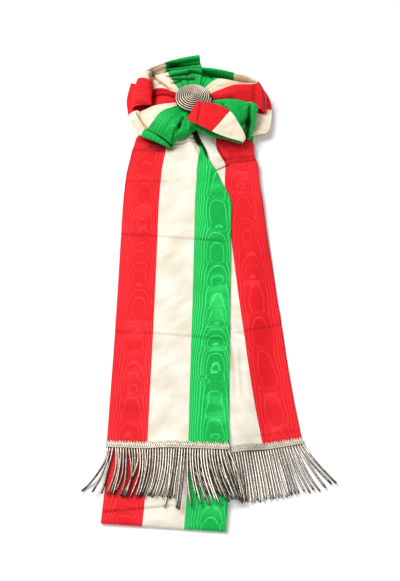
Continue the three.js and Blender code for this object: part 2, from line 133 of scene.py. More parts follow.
class Nodes:
    """Short ways to add nodes to one material: each call returns the new node's output socket."""

    def __init__(self, name):
        self.material = bpy.data.materials.new(name)
        self.material.use_nodes = True
        self.tree = self.material.node_tree
        self.shader = self.tree.nodes["Principled BSDF"]

    def put(self, socket, value):
        if isinstance(value, bpy.types.NodeSocket):
            self.tree.links.new(value, socket)
        else:
            socket.default_value = value

    def add(self, kind, inputs, output=0, **settings):
        made = self.tree.nodes.new(kind)
        for key, value in settings.items():
            setattr(made, key, value)
        for key, value in inputs.items():
            self.put(made.inputs[key], value)
        return made.outputs[output]

    def calc(self, operation, *values):
        return self.add("ShaderNodeMath", dict(enumerate(values)), operation=operation)

    def times(self, first, second):
        return self.calc("MULTIPLY", first, second)

    def scaled(self, value, factor, added):
        return self.calc("MULTIPLY_ADD", value, factor, added)

    def give(self, name, value):
        self.put(self.shader.inputs[name], value)

    def raise_by(self, height, strength, depth):
        inputs = {"Strength": strength, "Distance": depth, "Height": height}
        self.give("Normal", self.add("ShaderNodeBump", inputs))

    def vector(self, x, y, z=0.0):
        return self.add("ShaderNodeCombineXYZ", {"X": x, "Y": y, "Z": z})

    def noise(self, vector, scale, detail=2.0):
        return self.add("ShaderNodeTexNoise", {"Vector": vector, "Scale": scale, "Detail": detail})

    def mix_colour(self, factor, first, second, blend="MIX"):
        made = self.tree.nodes.new("ShaderNodeMix")
        made.data_type = "RGBA"
        made.blend_type = blend
        self.put(made.inputs[0], factor)
        self.put(made.inputs[6], first)
        self.put(made.inputs[7], second)
        return made.outputs[2]


def moire_silk(name, strength, cream_silk, cream_shine):
    """Ribbed silk in three equal stripes. The watermark's lines are the contours of a surface over
    each stripe: steep along both sides, with a flat belly between them, where hills follow one
    another. Each rises slowly to a crest, blunt or pointed by chance, and is cut off short past it.
    Cream, in its own two tones, only shows clouds. The piece's shade attribute paints shadow into
    its creases and where other pieces shade it, and past 1 darkens them a second time."""
    n = Nodes(name)
    place = n.add("ShaderNodeSeparateXYZ", {0: n.add("ShaderNodeUVMap", {}, uv_map="ribbon")})
    u, v = place, place.node.outputs["Y"]
    thirds = n.times(u, 3.0)
    stripe = n.calc("MINIMUM", n.calc("FLOOR", thirds), 2.0)
    inside = n.calc("SUBTRACT", thirds, stripe)

    def cloud(across, along, seed=0.0, detail=2.0):
        """Noise from 0 to 1 with so many waves across the ribbon and so many to a metre along it."""
        place = n.vector(n.times(u, across), n.times(v, along), n.calc("ADD", stripe, seed))
        return n.noise(place, 1.0, detail)

    belly_line = n.scaled(stripe, 0.04, 0.5)
    wander = n.scaled(cloud(0.0, 20.0), 0.12, belly_line)
    off_centre = n.calc("ABSOLUTE", n.calc("SUBTRACT", inside, wander))
    side = n.times(n.calc("POWER", off_centre, 2.5), 20.3)
    ragged = n.scaled(cloud(6.0, 520.0, 7.1), 0.35, n.times(cloud(2.4, 85.0, 3.7), 1.5))
    hills = n.scaled(v, 29.0, n.times(cloud(0.6, 15.0, 2.6, 1.0), 2.6))
    hills = n.scaled(ragged, 0.6, hills)
    down_hill = n.calc("FRACT", hills)
    which = n.vector(n.calc("FLOOR", hills), stripe)
    chance = n.add("ShaderNodeTexWhiteNoise", {"Vector": which})
    height = n.scaled(chance, 6.0, 1.4)
    point = n.calc("POWER", down_hill, n.scaled(chance, 1.2, 0.7))
    hill = n.times(point, n.calc("POWER", n.calc("SUBTRACT", 1.0, down_hill), 0.4))
    flat = n.scaled(side, -0.75, 1.0)
    flat.node.use_clamp = True
    height = n.times(height, n.scaled(flat, 0.6, 0.4))
    slope = n.calc("ADD", side, n.calc("SUBTRACT", ragged, 0.6))
    level = n.calc("SUBTRACT", slope, n.times(hill, height))
    power = n.scaled(n.times(flat, flat), 30.0, 2.4)
    wave = n.calc("COSINE", n.times(level, 2 * np.pi))
    line = n.calc("POWER", n.scaled(wave, 0.5, 0.5), power)
    line = n.times(line, n.scaled(cloud(5.0, 30.0, 9.4), 1.5, 0.15))
    filled = n.scaled(cloud(1.2, 34.0, 6.6), 7.0, n.scaled(down_hill, -1.0, -3.3))
    filled.node.use_clamp = True
    streak = n.scaled(cloud(12.0, 1100.0, 1.9, 3.0), 0.5, -0.2)
    patch = n.times(n.times(filled, flat), n.scaled(streak, 2.0, 0.45))
    line = n.times(n.calc("ADD", n.calc("ADD", line, streak), patch), strength)
    line.node.use_clamp = True
    slanted = n.vector(n.scaled(v, 26.0, n.times(u, 5.0)), n.times(v, 50.0))
    broad = n.scaled(n.noise(slanted, 1.0, 2.0), 2.6, -0.8)
    broad = n.scaled(streak, 0.3, broad)
    broad.node.use_clamp = True

    red = n.mix_colour(line, red_silk, red_shine)
    cream = n.mix_colour(broad, cream_silk, cream_shine)
    green = n.mix_colour(line, green_silk, green_shine)
    past_red = n.calc("GREATER_THAN", thirds, 1.0)
    past_cream = n.calc("GREATER_THAN", thirds, 2.0)
    stripes = n.mix_colour(past_cream, n.mix_colour(past_red, red, cream), green)
    # Painted shadow: the stripes are multiplied by the shadow colours as far as the shade goes, and past 1
    # by the deep one as well.
    shade = n.add("ShaderNodeAttribute", {}, output=2, attribute_name="shade")
    shadow = n.mix_colour(past_cream, n.mix_colour(past_red, in_shadow, in_cream_shadow), in_shadow)
    shaded = n.mix_colour(shade, stripes, shadow, "MULTIPLY")
    deep = n.calc("SUBTRACT", shade, 1.0)
    deep.node.use_clamp = True
    n.give("Base Color", n.mix_colour(deep, shaded, in_deep_shadow, "MULTIPLY"))
    n.give("Roughness", n.scaled(line, -0.12, 0.6))
    n.give("Sheen Weight", 0.03)
    n.give("Sheen Roughness", 0.4)
    n.give("Specular IOR Level", 0.12)

    rib_pitch = 0.62 * mm
    rib = n.calc("SINE", n.times(v, 2 * np.pi / rib_pitch))
    raised = n.scaled(line, 0.8, rib)
    n.raise_by(raised, 0.3, 0.05 * mm)
    return n.material


def named(columns, *rows):
    """A table as a list of rows, each value under its column's name."""
    return [dict(zip(columns.split(), row)) for row in rows]


def soft_step(value):
    """0 below 0, 1 above 1, and a smooth rise between."""
    share = np.clip(value, 0, 1)
    return share * share * (3 - 2 * share)


furrow_shade = 0.4
crease_fade = 0.2


def relief(x, y, creases):
    """Heights and shades of a table of creases at places x, y. Each runs straight between two
    points, fades at its ends, and is a bell across its line, plus a bell times the distance where
    it has a step. The shade is painted shadow: a furrow's grows with its depth, and a row's dark is
    painted shadow alone."""
    height = np.zeros(np.broadcast(x, y).shape)
    shade = np.zeros(height.shape)
    for row in creases:
        run = np.array([row["x1"] - row["x0"], row["y1"] - row["y0"]]) * mm
        length = np.hypot(*run)
        from_x, from_y = x - row["x0"] * mm, y - row["y0"] * mm
        share = (from_x * run[0] + from_y * run[1]) / length**2
        beside = (from_x * run[1] - from_y * run[0]) / length / (row["width"] * mm)
        ends = soft_step(share / crease_fade) * soft_step((1 - share) / crease_fade)
        bell = np.exp(-(beside**2))
        height += ends * bell * (row["rise"] + row["step"] * beside) * mm
        shade += ends * bell * (max(-row["rise"], 0) * furrow_shade + row.get("dark", 0))
    return height, shade


def band_place(along, across):
    """x and y of a place on the band: so far up it from its foot, so far across from its middle line."""
    x = band_foot[0] + along * np.sin(band_lean) + across * np.cos(band_lean)
    y = band_foot[1] + along * np.cos(band_lean) - across * np.sin(band_lean)
    return x, y


def fold_arc(centre_along, centre_height, radius, facing, rising, length=None):
    """Half a turn round a fold line: distances along the band and heights of a half circle, or of
    a half ellipse of another length where the fold is pressed flatter."""
    turn = np.linspace(-np.pi / 2, np.pi / 2, 13)
    along = centre_along + facing * (length or radius) * np.cos(turn)
    height = centre_height + (radius if rising else -radius) * np.sin(turn)
    return np.stack([along, height], axis=-1)


def flat_run(start, end, height, step):
    """Evenly spaced places strictly between two folds, at one height."""
    count = int(abs(end - start) / step)
    along = np.linspace(start, end, count + 2)[1:-1]
    return np.stack([along, np.full(count, height)], axis=-1)


stack_middle = lowest_layer + 1.5 * layer_step
layers = lowest_layer + layer_step * np.arange(4)
pressed = 5 * mm
foot_line = pressed + 0.5 * mm
head_line = band_run - 0.5 * layer_step - 0.5 * mm
shown_foot = 90 * mm
coarse, fine = 7 * mm, 0.5 * mm
band_path = np.concatenate([
    fold_arc(foot_line, stack_middle, 1.5 * layer_step, -1, False, pressed),
    flat_run(foot_line, head_line, layers[0], coarse),
    fold_arc(head_line, stack_middle - layer_step, 0.5 * layer_step, 1, True),
    flat_run(head_line, foot_line, layers[1], coarse),
    fold_arc(foot_line, stack_middle, 0.5 * layer_step, -1, True),
    flat_run(foot_line, head_line, layers[2], coarse),
    fold_arc(head_line, stack_middle + layer_step, 0.5 * layer_step, 1, True),
    flat_run(head_line, shown_foot, layers[3], coarse),
    flat_run(shown_foot, foot_line, layers[3], fine),
])

# A row is one crease, in millimetres: where it starts and ends, how wide it is, how far it rises or
# falls, and how far one side of it stands up and the other goes down. dark is painted shadow
# without any depth, and may be left out.
crease_columns = "x0 y0 x1 y1 width rise step dark"
foot_creases = named(
    crease_columns,
    (-92, -429.6, -4, -420.6, 0.9, -1.3, 0.4),
    (-62, -417, 10, -412, 3.0, 0.5, 0),
    (-40, -440, 20, -425, 4.0, 0.3, 0),
)
shares = np.linspace(0, 1, 49)
band_x, band_y = band_place(band_path[:, :1], (shares - 0.5) * ribbon_width)
on_top = (band_path[:, 1:] > layers[3] - 0.1 * mm) * 1.0
foot_height, foot_shade = relief(band_x, band_y, foot_creases)
band_points = np.stack([band_x, band_y, band_path[:, 1:] + on_top * foot_height], axis=-1)
moire = moire_silk("moire_silk", 1.0, colour(212, 202, 180), colour(232, 228, 216))
band_shade = on_top * foot_shade
sash_band = ribbon_piece("sash_band_silk", band_points, shares, band_shade, moire, looped=True)
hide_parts("sash_band")

# The back tail: the ribbon's end that fans out to the right under the other one. It hangs from
# the stitches under the rosette, with its green stripe hidden and its red one outermost, and has
# a tuck pressed across it near the top.


def through(points, steps):
    """A smooth curve through the points of the first axis, steps places to each stretch: cubics
    whose slopes come from the chords on both sides, weighed by the square roots of their lengths."""
    chords = np.diff(points, axis=0)
    chords = np.concatenate([chords[:1], chords, chords[-1:]])
    spans = np.sqrt(np.linalg.norm(chords, axis=-1, keepdims=True)) + 1e-9
    before, after = chords[:-1], chords[1:]
    span_before, span_after = spans[:-1], spans[1:]
    slopes = before / span_before - (before + after) / (span_before + span_after) + after / span_after
    share = (np.arange(steps) / steps).reshape((1, steps) + (1,) * (points.ndim - 1))
    start, end, span = points[:-1, None], points[1:, None], spans[1:-1, None]
    out, into = slopes[:-1, None] * span, slopes[1:, None] * span
    turned = 2 * start - 2 * end + out + into
    bent = -3 * start + 3 * end - 2 * out - into
    curve = ((turned * share + bent) * share + out) * share + start
    curve = curve.reshape((-1,) + points.shape[1:])
    return np.concatenate([curve, points[-1:]])


def columns_of(table, names):
    """A table's named columns as an array, one row for each of the table's rows."""
    return np.array([[row[name] for name in names.split()] for row in table], float)


def outside_band(x, y):
    """How far a place lies outside the band's long edges, negative where it is on the band."""
    across = (x - band_foot[0]) * np.cos(band_lean) - (y - band_foot[1]) * np.sin(band_lean)
    return np.abs(across) - ribbon_width / 2


def fade_out(distance, start, length):
    return 1 - soft_step((distance - start) / length)


back_tail_middle = band_top - 0.5 * mm + layer_step
table_rest = 0.8 * mm
sag_start, sag_length = 7.5 * mm, 24 * mm


def back_tail_height(x, y):
    """On the band over its width, and sagging to the table past its edges."""
    on_band = fade_out(outside_band(x, y), sag_start, sag_length)
    return table_rest + (back_tail_middle - table_rest) * on_band


# A row is one line across the tail: its middle, its turn in degrees, its width and its lift in
# millimetres. shown is how much of the ribbon's width lies open there, counted from the red
# selvage; what is left is turned under.
tail_columns = "y x turn width lift shown"
back_tail_table = named(
    tail_columns,
    (-14, 4, -14, 12, 0.6, 0.55),
    (-30, 24, -16, 66, 0.8, 0.6),
    (-52, 25.5, -8, 65.5, 0.9, 0.62),
    (-66, 22, -3, 78, 1.1, 0.83),
    (-74, 17, 0, 89, 0.2, 0.95),
    (-88, 13.5, 0, 97, 0.1, 1),
    (-111, 14.7, 1, 99.5, 0, 1),
    (-147, 17.5, 2, 100, 0, 1),
    (-193, 21.2, 3.5, 102.4, 0, 1),
    (-234, 25, 5.3, 102.8, 0.2, 1),
    (-262, 28, 6.3, 102.8, 0.2, 1),
    (-288, 30.6, 7.3, 102.4, 0, 1),
    (-330, 35.8, 9, 101.6, 0.3, 1),
    (-369.5, 42.4, 11, 100, 0, 1),
)
# Rows with dark paint shadow: along the tuck line and in a band above it, and in lines along the right
# edge, where the tail sags off the band.
back_tail_creases = named(
    crease_columns,
    (12, -71, 33, -66.5, 1.3, 0.2, 1.1),
    (18.5, -76.5, 36, -67.5, 0.9, -0.4, 0.3, 1.6),
    (28, -67.5, 66, -62, 1.2, -0.5, 0.8, 0.5),
    (20, -63.5, 66, -57.5, 3.4, 0, 0, 0.55),
    (16, -33, 34, -68, 1.3, -0.5, 0.3, 0.2),
    (21, -38, 30.5, -66, 1.1, -0.3, 0.3, 0.2),
    (30, -57, 60, -54, 2.0, 0.5, 0),
    (12, -50, 28, -58, 1.6, 0.5, 0),
    (36, -258, 98, -238, 1.1, -1.1, 0.3),
    (40, -247, 98, -228, 5.0, 1.2, 0),
    (34, -248, 48, -266, 1.6, 0.9, 0.3),
    (36, -262, 52, -279, 1.6, 0.8, 0),
    (35, -256, 46, -258, 1.2, -0.7, 0),
    (33.6, -262, 36.2, -326, 1.2, -0.7, 0.2),
    (34.2, -262, 36.8, -326, 0.8, -0.4, 0),
    (37.5, -262, 40, -326, 1.8, 1.2, 0),
    (44, -282, 50, -330, 3.0, 0.6, 0),
    (48, -358, 92, -350, 1.2, -0.8, 0.2),
    (40, -118, 68, -110, 4.0, 0.4, 0),
    (44, -190, 76, -178, 5.0, 0.4, 0),
    (60.5, -62, 72.4, -190, 1.1, 0, 0, 0.5),
    (70, -165, 88.5, -340, 1.2, 0, 0, 0.4),
)


def tail_grid(table, height, creases, columns=81, steps=26, red_left=True):
    """x and y from the smoothed rows, each point set out along its row's turned line; z is what
    the tail lies on, plus the row's lift, the creases and a slow swell a fraction of a millimetre
    high, and never below the table. Given with the ribbon's map across and its shade."""
    rows = through(columns_of(table, "x y turn width lift shown"), steps)
    middle_x, middle_y, turn, width, lift, shown = [column[:, None] for column in rows.T]
    share = np.linspace(0, 1, columns)
    aside = (share - 0.5) * width * mm
    x = middle_x * mm + aside * np.cos(np.radians(turn))
    y = middle_y * mm + aside * np.sin(np.radians(turn))
    swell = 0.15 * mm * np.sin(x / (17 * mm) + y / (29 * mm)) * np.sin(y / (41 * mm) - x / (37 * mm))
    crease_height, shade = relief(x, y, creases)
    z = np.maximum(height(x, y) + lift * mm + swell + crease_height, silk)
    across = (share if red_left else 1 - share) * shown
    return np.stack([x, y, z], axis=-1), across, shade


back_laid = tail_grid(back_tail_table, back_tail_height, back_tail_creases, columns=69, red_left=False)
back_tail = ribbon_piece("back_tail_silk", *back_laid, moire, start=2.8)
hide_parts("back_tail")

# The front tail: the ribbon's other end, laid over the band and the back tail. Its green stripe
# is folded under along a slanting edge below the rosette, and its gathers spread from there.
front_tail_table = named(
    tail_columns,
    (-13, -5, 12, 12, 1.2, 0.5),
    (-22, -14, 10, 32, 2.0, 0.71),
    (-33, -24, 4, 57, 2.4, 0.735),
    (-42, -23.5, 2, 63, 1.6, 0.74),
    (-52, -22.5, 0, 69.5, 2.2, 0.732),
    (-64, -22, 0, 74.6, 1.7, 0.775),
    (-76, -20, 0, 83, 0.9, 0.85),
    (-89, -18.2, 0, 89, 0.8, 0.9),
    (-111, -14.5, 0, 99, 0.1, 1),
    (-141, -15, 0.5, 99.4, 0.2, 1),
    (-165, -15.4, 0.7, 99.5, 0.3, 1),
    (-203, -16.1, 0.8, 99.5, 0, 1),
    (-246, -17, 1, 99.5, 0.2, 1),
    (-270, -17.6, 1, 99.5, 0.3, 1),
    (-310, -18.6, 1.2, 100, 0, 1),
    (-369, -19.9, 1, 101, 0, 1),
)
# Rows with dark and no rise or step only paint shadow: the dark gap between the tails below the flap, the
# shade under the lower left loop, and the shaded line along the tail's left edge.
front_tail_creases = named(
    crease_columns,
    (-60, -42, -28, -46, 2.2, 1.3, 0),
    (-60, -50, -24, -53, 1.8, -0.9, 0.4),
    (-28, -37, 4, -35, 1.5, 1.2, 0),
    (-26, -43, 6, -41, 1.3, 1.1, 0),
    (-26, -48.5, 8, -48, 1.4, 0.9, 0),
    (-7, -34, 7, -68, 3.2, 2.4, 0),
    (1.5, -22, 7.2, -44, 2.0, -0.6, 0),
    (4.6, -36, 13.6, -61, 1.7, -0.5, 0),
    (-1, -18, 6.8, -50, 3.2, 0, 0, 2.1),
    (4.5, -32, 15.6, -65, 1.6, 0, 0, 1.8),
    (-64, -33, -14, -52, 6.0, 0, 0, 0.5),
    (-44, -45, -18, -54, 4.0, -0.6, 0, 0.5),
    (-54.5, -40, -62.8, -88, 1.1, 0, 0, 0.5),
    (-61, -76, -65.2, -136, 1.0, 0, 0, 0.45),
    (-64.4, -112, -69, -330, 1.1, 0, 0, 0.45),
    (-26, -35.5, 6, -31.3, 1.0, -1.0, 0.2),
    (-26, -40.5, 8, -37.6, 1.0, -1.0, 0.2),
    (-27, -46.5, 9, -41.5, 0.9, -1.1, 0.2),
    (-25, -50.3, 3, -48, 0.9, -0.9, 0.2),
    (-64, -87, -18, -90, 1.3, -0.8, 0.4),
    (-86, -147.5, 46, -160, 1.1, -1.1, 0.3),
    (-86, -136, 46, -148, 5.5, 1.5, 0),
    (-86, -253, 46, -265.5, 1.1, -1.0, 0.3),
    (-86, -242, 46, -254, 5.0, 1.4, 0),
    (-68, -330, -30, -334, 2.0, -0.5, 0),
)
front_tail_end = -369 * mm
edge_droop = 2.5 * mm
end_rise, end_rise_length = 2.2 * mm, 30 * mm


def past_back_tail(x, y):
    """How far a place lies past the back tail's left edge."""
    rows = columns_of(back_tail_table, "y x width turn")[::-1]
    centre, width, turn = [np.interp(y / mm, rows[:, 0], rows[:, column]) for column in (1, 2, 3)]
    return (centre - width / 2 / np.cos(np.radians(turn))) * mm - x


def front_tail_height(x, y):
    """On the back tail where that lies under it, drooping past the band's left edge, and rising
    at its end over the back tail's heading."""
    on_back_tail = fade_out(past_back_tail(x, y), sag_start, sag_length)
    droop = (x < 0) * edge_droop * (1 - fade_out(outside_band(x, y), sag_start, sag_length))
    over_heading = end_rise * on_back_tail * fade_out(y - front_tail_end, 0, end_rise_length)
    return back_tail_middle + layer_step * on_back_tail + over_heading - droop


front_laid = tail_grid(front_tail_table, front_tail_height, front_tail_creases)
front_tail = ribbon_piece("front_tail_silk", *front_laid, moire, start=2.1)
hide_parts("front_tail")

# The fringes: a woven silver heading sewn over each tail's end, and a row of bullion hanging from
# it. Each strand is two gimped silver wires twisted together, tarnished at its tip, darker in its
# grooves with tarnish and painted shade, and painted lighter on the side that faces up and left,
# towards the key lamp. They lie as they fell: on the band, on the table, or over the other fringe.
heading_height = 6.5 * mm
heading_thickness = 1.8 * mm
strand_radius = 0.88 * mm
twist_pitch = 3.4 * mm
# lit_side is the angle round each strand where its painted light is brightest: up and to the left, towards
# the key lamp.
lit_side = np.radians(72)
cad_cloth = 1.0 * mm
gap = 0.3 * mm
lock_margin, lock_fall = 3 * mm, 14 * mm
plait_pitch, plait_relief, edge_relief = 1.8 * mm, 0.13 * mm, 0.2 * mm
picot_pitch, picot_reach = 2.4 * mm, 2.1 * mm
heading_wall = 1.0 * mm
tucked_under = 1.5 * mm
clump_pitch = 11 * mm
second_layer, uneven_layer = 1.3 * mm, 0.5 * mm
clearance = 0.15 * mm
back_start, back_end = (-6.2, -376.2), (91.3, -357.6)
pile_start, fringe_pile = back_start[0] * mm, 2.2 * mm


def silver(name, bright, dark, roughness):
    """Silver wire: bright where the piece's tarnish_and_shade attribute is 0, dark where it is 1,
    blotched by noise, with the fine turns of the wire as bump. That attribute holds tarnish and
    painted light and shade together."""
    n = Nodes(name)
    tarnish_and_shade = n.add("ShaderNodeAttribute", {}, output=2, attribute_name="tarnish_and_shade")
    place = n.add("ShaderNodeTexCoord", {}, output=3)
    blotch = n.noise(place, 260.0, 3.0)
    factor = n.calc("ADD", tarnish_and_shade, n.scaled(blotch, 0.9, -0.45))
    factor.node.use_clamp = True
    n.give("Base Color", n.mix_colour(factor, bright, dark))
    n.give("Roughness", n.scaled(factor, 0.25, roughness))
    n.give("Metallic", 0.65)
    grain = n.noise(place, 2600.0, 1.0)
    n.raise_by(grain, 0.5, 0.05 * mm)
    return n.material


bullion = silver("silver_bullion", colour(204, 192, 176), colour(50, 40, 33), 0.34)
braid = silver("silver_braid", colour(212, 202, 184), colour(96, 84, 70), 0.45)


def paint_tarnish_and_shade(piece, values):
    """Keeps how dark each point of a piece is painted, from 0 to 1: its tarnish, and painted light
    and shade.
    """
    keep_values(piece, "tarnish_and_shade", np.clip(values, 0, 1))


def lock_rest(x, y, pile):
    """Height of what the strands lie on: the band, or the table past its edge, and the lower
    fringe where one lies over the other."""
    on_band = band_top * fade_out(outside_band(x, y), lock_margin, lock_fall)
    on_fringe = pile * soft_step((x - pile_start + 2 * lock_margin) / lock_margin)
    return on_band + on_fringe


# A row is a place along the heading, from 0 to 1, and the strands there: how far they swing aside,
# their length and how far they bow, in millimetres; how late they swing; and how much they wave,
# draw together in clumps and grow darker along their lower part.
fringe_columns = "share swing length lag bend wave clump dull"


def fringe(name, start, end, tail_height, count, pile, table, stragglers, seed):
    """Heading: a strip that swells in rows of small plaits, with a picot edge. Strands: rings of a
    two-lobed outline, turned as they go down, on lines that swing, wave and settle onto what is
    below."""
    draw = np.random.default_rng(seed)
    start, end = np.array(start) * mm, np.array(end) * mm
    length = np.hypot(*(end - start))
    sideways = (end - start) / length
    down = np.array([sideways[1], -sideways[0]])

    def spot(along, below):
        """x and y of a place so far along the heading's upper edge and so far below it."""
        return [start[axis] + sideways[axis] * along + down[axis] * below for axis in (0, 1)]

    heading_rows, heading_columns = 631, 17
    along = np.linspace(0, 1, heading_rows)[:, None] * length
    drop = np.linspace(0, 1, heading_columns)[None, :]
    notch = 0.5 + 0.5 * np.cos(2 * np.pi * along / picot_pitch)
    lean = 2.2 * np.abs(drop - 0.6)
    plait = np.sin(2 * np.pi * (along / plait_pitch + lean))
    edge = np.cos(np.pi * drop) ** 6
    picot = np.clip(1 - drop / 0.28, 0, 1)
    x, y = spot(along, drop * heading_height + picot * picot_reach * notch)
    seat = tail_height(*spot(along, 0)) + cad_cloth / 2 + gap + heading_thickness / 2
    z = seat + (plait_relief * plait + edge_relief * edge)
    heading_points = np.stack([x, y, z], axis=-1)
    heading = new_piece(name + "_heading", heading_points, quads(heading_rows, heading_columns), braid)
    # Painted shade: the heading is darker between the plait's raised rows. It is also darker at the picot
    # points and lighter along its lower quarter.
    paint_tarnish_and_shade(heading, 0.5 - 0.6 * plait - 0.35 * (drop > 0.75) + 1.3 * picot * (notch - 0.3))
    thicken(heading, "braid", heading_wall)

    rings, sides = 84, 10
    rows = columns_of(table, fringe_columns)
    place = (np.arange(count) + 0.5) / count
    swing, fall, lag, bend, wave, clump, dimming = [
        np.interp(place, rows[:, 0], rows[:, column])[:, None] for column in range(1, 8)
    ]
    for at, extra in stragglers:
        fall[int(at * count)] += extra
    swing, fall, lag = swing * mm, fall * mm, lag * mm
    fall = fall * (1 + draw.normal(0, 0.02, (count, 1)))
    wave = wave * mm * draw.normal(0, 1, (count, 1))
    clump = clump * mm * np.sin(2 * np.pi * place * length / clump_pitch)[:, None]
    phase = draw.uniform(0, 2 * np.pi, (count, 1))
    t = np.linspace(0, 1, rings)[None, :]
    side = swing * t**bend + wave * np.sin(1.6 * np.pi * t + phase) * t
    side = side + lag * np.sin(np.pi * t) - clump * t**1.4 + place[:, None] * length
    out = heading_height - tucked_under + fall * t
    x, y = spot(side, out)
    held = tail_height(*spot(place[:, None] * length, heading_height)) + cad_cloth / 2 + gap
    over = second_layer * (np.arange(count) % 2)[:, None] + draw.uniform(0, uneven_layer, (count, 1))
    rest = lock_rest(x, y, pile) + strand_radius + clearance + over * soft_step(t / 0.3)
    z = rest + np.maximum(held - rest, 0) * (1 - t) ** 3
    line = np.stack([x, y, z], axis=-1)
    ahead = np.gradient(line, axis=1)
    ahead /= np.linalg.norm(ahead, axis=-1, keepdims=True)
    beside = np.stack([ahead[..., 1], -ahead[..., 0], 0 * x], axis=-1)
    beside /= np.linalg.norm(beside, axis=-1, keepdims=True)
    above = np.cross(beside, ahead)
    angle = (2 * np.pi * np.arange(sides) / sides)[None, None, :]
    lobe = np.abs(np.cos(angle - np.pi * out[..., None] / twist_pitch - phase[..., None]))
    past_end = ((t * fall - fall + strand_radius) / strand_radius).clip(0)
    end_round = np.sqrt(np.clip(1 - past_end**2, 0.02, 1))
    radius = strand_radius * (0.94 + 0.06 * lobe) * end_round[..., None]
    cosine, sine = np.cos(angle)[..., None], np.sin(angle)[..., None]
    offset = cosine * beside[:, :, None] + sine * above[:, :, None]
    points = line[:, :, None] + radius[..., None] * offset
    corner = np.arange(count * rings * sides).reshape(count, rings, sides)
    across = np.roll(corner, -1, axis=2)
    walls = np.stack([corner[:, :-1], across[:, :-1], across[:, 1:], corner[:, 1:]], axis=-1).reshape(-1, 4)
    caps = corner[:, 0, ::-1].tolist() + corner[:, -1].tolist()
    strands = new_piece(name + "_bullion", points, walls.tolist() + caps, bullion)
    tip = soft_step((t - 0.86) / 0.14)[..., None]
    worn = draw.normal(0, 0.16, (count, 1, 1))
    # Painted light: each strand is lighter on the side towards lit_side and darker away from it. It is also
    # darker in the twist's grooves, with tarnish and painted shade, at its tip, at random from strand to
    # strand, and along its lower part by its dimming.
    painted_light = np.cos(angle - lit_side).clip(0) ** 1.9
    lower = dimming[..., None] * soft_step(t / 0.6)[..., None]
    paint_tarnish_and_shade(strands, 1.15 - 1.25 * painted_light - 0.15 * (lobe - 0.6) + 0.5 * tip + worn + lower)
    for piece in (heading, strands):
        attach(piece, "root")
        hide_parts(name)
    return heading, strands


front_fringe_table = named(
    fringe_columns,
    (0, -22.5, 40, 2, 1.9, 0.4, 0, 0.8),
    (0.022, -15, 42, 2, 1.9, 0.4, 0, 0.8),
    (0.045, -8, 45, -2, 1.8, 0.8, 0, 0.7),
    (0.07, -5, 45, 3, 1.8, 1.2, 0.6, 0.5),
    (0.1, -2, 45, 1, 1.5, 1.2, 1.6, 0.35),
    (0.2, -3, 45, 3, 1.5, 1.3, 2.2, 0.35),
    (0.32, -4, 45, 2, 1.5, 1.0, 1.8, 0.35),
    (0.4, -5, 44.5, 1.5, 1.9, 0.5, 0.5, 0.2),
    (0.5, -4, 45, 1, 1.9, 0.4, 0.3, 0.25),
    (0.58, -3, 46, 0, 1.7, 0.4, 0.3, 0.35),
    (0.645, -2, 46, 0, 1.6, 0.4, 0.3, 0.4),
    (0.66, 4.5, 46, 0, 1.5, 0.4, 0.3, 0.3),
    (0.7, 8.5, 46, -1, 1.5, 0.3, 0.2, 0.2),
    (0.8, 12, 46, -1, 1.5, 0.3, 0.2, 0.3),
    (0.9, 14, 47, -1, 1.4, 0.3, 0.2, 0.45),
    (0.96, 15, 47, 0, 1.2, 0.4, 0.2, 0.45),
    (1, 15.5, 46, 2, 1.0, 0.4, 0.2, 0.35),
)
back_fringe_table = named(
    fringe_columns,
    (0, 9, 34, 0, 1.4, 0.4, 0.3, 0.5),
    (0.2, 8, 36, 0, 1.4, 0.4, 0.3, 0.5),
    (0.33, 3, 41, 0, 1.3, 0.4, 0.3, 0.3),
    (0.42, -2.5, 44, 0, 1.3, 0.4, 0.3, 0.1),
    (0.5, -3, 46, 0, 1.3, 0.5, 0.3, 0),
    (0.7, -0.5, 47, 0, 1.4, 0.5, 0.3, 0),
    (0.84, 3.5, 46, -0.5, 1.3, 0.6, 0.4, 0.2),
    (0.9, 9, 46, -1, 1.2, 0.6, 0.5, 0.4),
    (0.94, 14, 44.5, -1, 1.15, 0.6, 0.3, 0.6),
    (1, 20, 42, -1, 1.15, 0.4, 0, 0.8),
)
# Single long strands: the place along the heading, and how many millimetres longer they are.
long_strands = [(0.54, 8.5), (0.625, 10), (0.645, 9.5), (0.672, 8), (0.71, 5), (0.76, 6), (0.82, 5)]
back_pieces = fringe(
    "back_fringe", back_start, back_end, back_tail_height, count=44, pile=0,
    table=back_fringe_table, stragglers=[], seed=5,
)
front_pieces = fringe(
    "front_fringe", (-70.3, -363.5), (30.9, -367.7), front_tail_height, count=46, pile=fringe_pile,
    table=front_fringe_table, stragglers=long_strands, seed=8,
)

# The knot: the middle of the rosette, where every loop is gathered on one thread and stitched to
# the tails. It is a drum of puckered ribbon, hidden under the button.
knot_low, knot_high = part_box("rosette_knot")
knot_radius = knot_high.x


